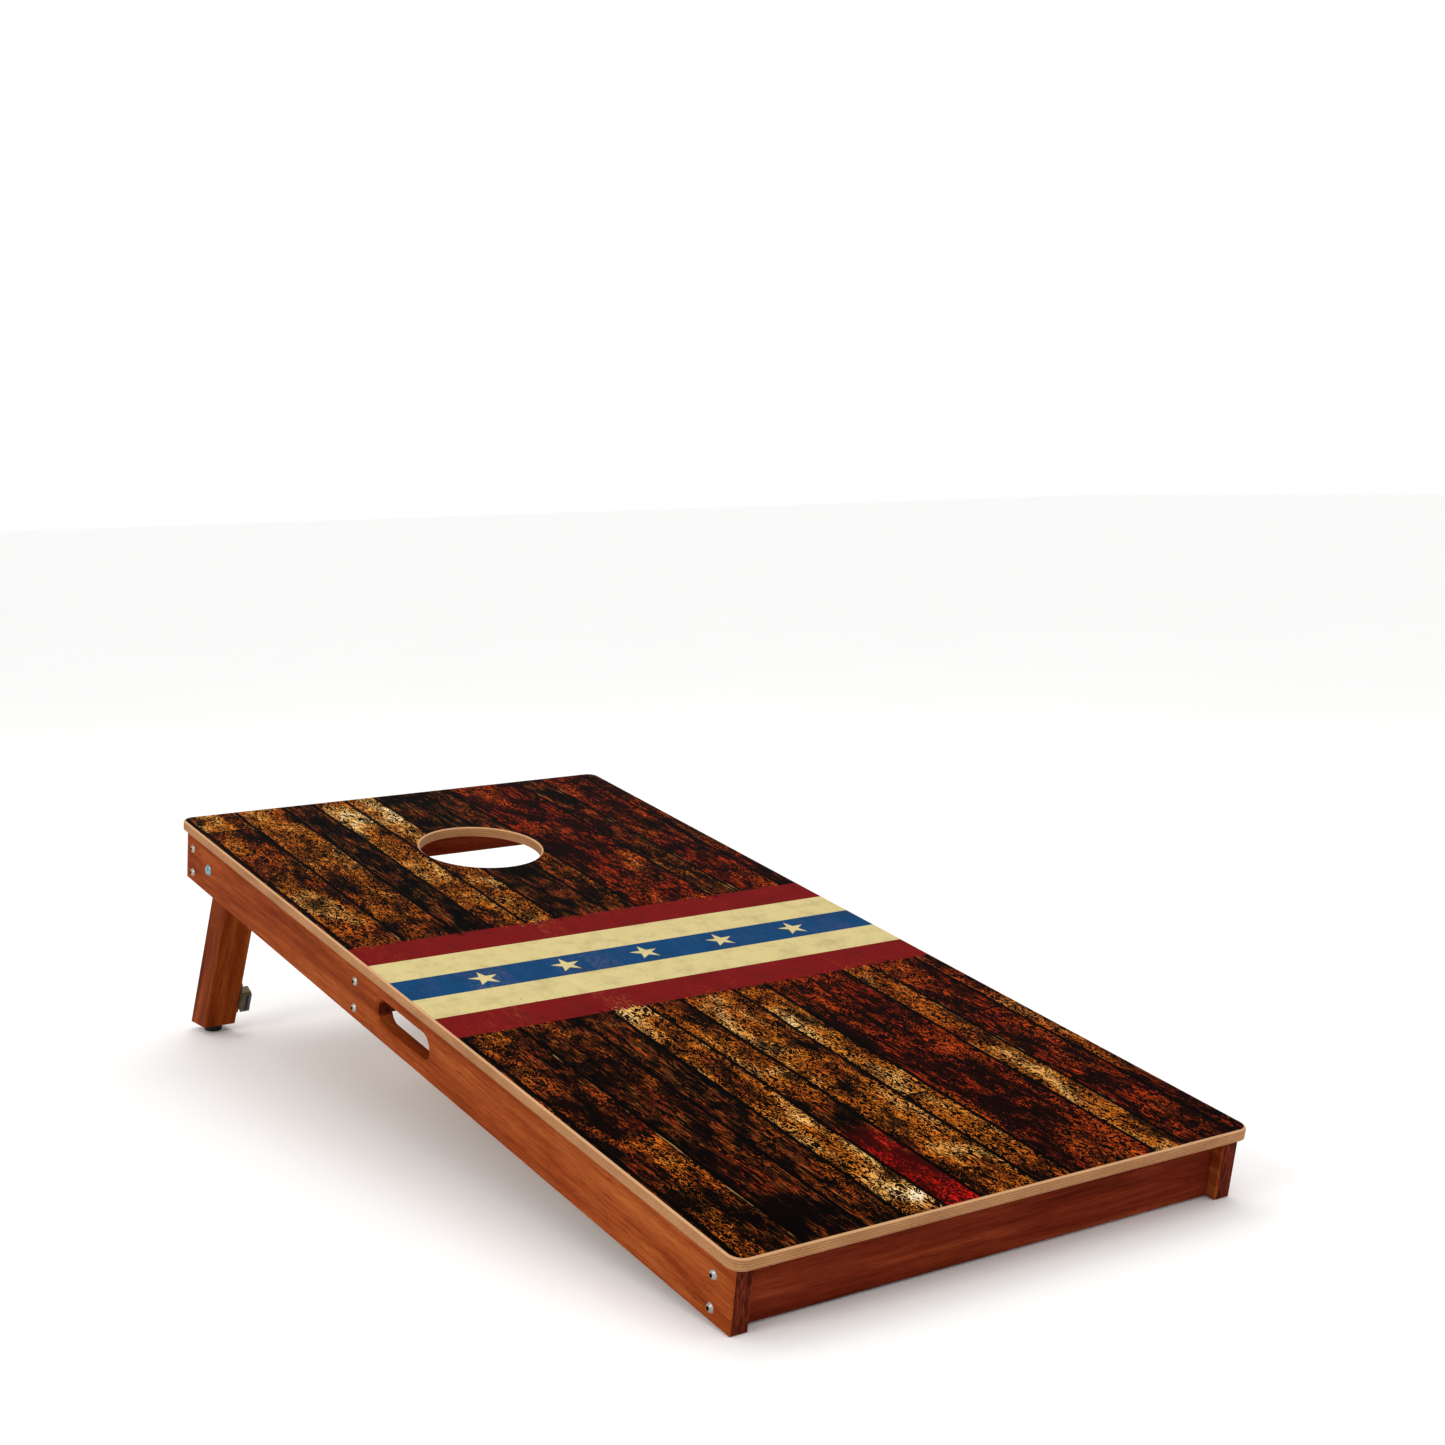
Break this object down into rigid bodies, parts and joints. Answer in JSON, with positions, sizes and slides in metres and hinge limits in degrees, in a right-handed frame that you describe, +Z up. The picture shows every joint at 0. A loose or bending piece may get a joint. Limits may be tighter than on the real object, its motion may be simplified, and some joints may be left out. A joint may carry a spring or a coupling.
{
  "type": "cornhole board",
  "caption": "Tilted plywood cornhole board with a round target hole, printed deck, hardwood rail frame with hand slots, and fold-away back legs held by magnetic catches.",
  "frame": {"origin": "on the ground, under the middle of the standing board's bounding box", "axes": "+X to the right seen from the player's low front end, +Y from the low front edge to the high back edge, +Z up"},
  "size_m": [0.6096, 1.2747, 0.2915],
  "materials": {
    "birch_ply": "clear satin lacquer on birch plywood",
    "print": "satin printed film, weathered planks with a patriotic motif of plain bands and stars",
    "rail_wood": "red-brown stained hardwood, satin lacquer",
    "leg_wood": "red-brown stained hardwood, satin lacquer",
    "zinc": "zinc plated",
    "pole_steel": "oiled steel",
    "nylon": "nylon ring",
    "foot_rubber": "moulded rubber",
    "catch_case": "bronze-brown enamel",
    "magnet": "sintered ferrite"
  },
  "bodies": {
    "frame": {"deck_panel": "birch_ply", "deck_print": "print", "side_rail_left": "rail_wood", "side_rail_right": "rail_wood", "front_rail": "rail_wood", "back_rail": "rail_wood", "cross_brace": "rail_wood", "front_rail_screws": "zinc", "back_rail_screws": "zinc", "brace_screws": "zinc", "deck_screws": "zinc", "strike_screws": "zinc", "pivot_bolt_left": "zinc", "rail_washer_left": "zinc", "nut_washer_left": "zinc", "lock_nut_left": "zinc", "nut_insert_left": "nylon", "strike_plate_left": "zinc", "pivot_bolt_right": "zinc", "rail_washer_right": "zinc", "nut_washer_right": "zinc", "lock_nut_right": "zinc", "nut_insert_right": "nylon", "strike_plate_right": "zinc"},
    "leg_left": {"leg_left": "leg_wood", "rubber_foot_left": "foot_rubber", "foot_screw_left": "zinc", "catch_housing_left": "catch_case", "catch_magnet_left": "magnet", "pole_plates_left": "pole_steel", "catch_screws_left": "zinc"},
    "leg_right": {"leg_right": "leg_wood", "rubber_foot_right": "foot_rubber", "foot_screw_right": "zinc", "catch_housing_right": "catch_case", "catch_magnet_right": "magnet", "pole_plates_right": "pole_steel", "catch_screws_right": "zinc"}
  },
  "joints": [
    {"name": "leg_left_fold", "type": "hinge", "parent": "frame", "child": "leg_left", "pos_m": [-0.2553, 0.49278, 0.23421], "axis": [-1, 0, 0], "range_deg": [0, 108.2]},
    {"name": "leg_right_fold", "type": "hinge", "parent": "frame", "child": "leg_right", "pos_m": [0.2553, 0.49278, 0.23421], "axis": [-1, 0, 0], "range_deg": [0, 108.2]}
  ]
}
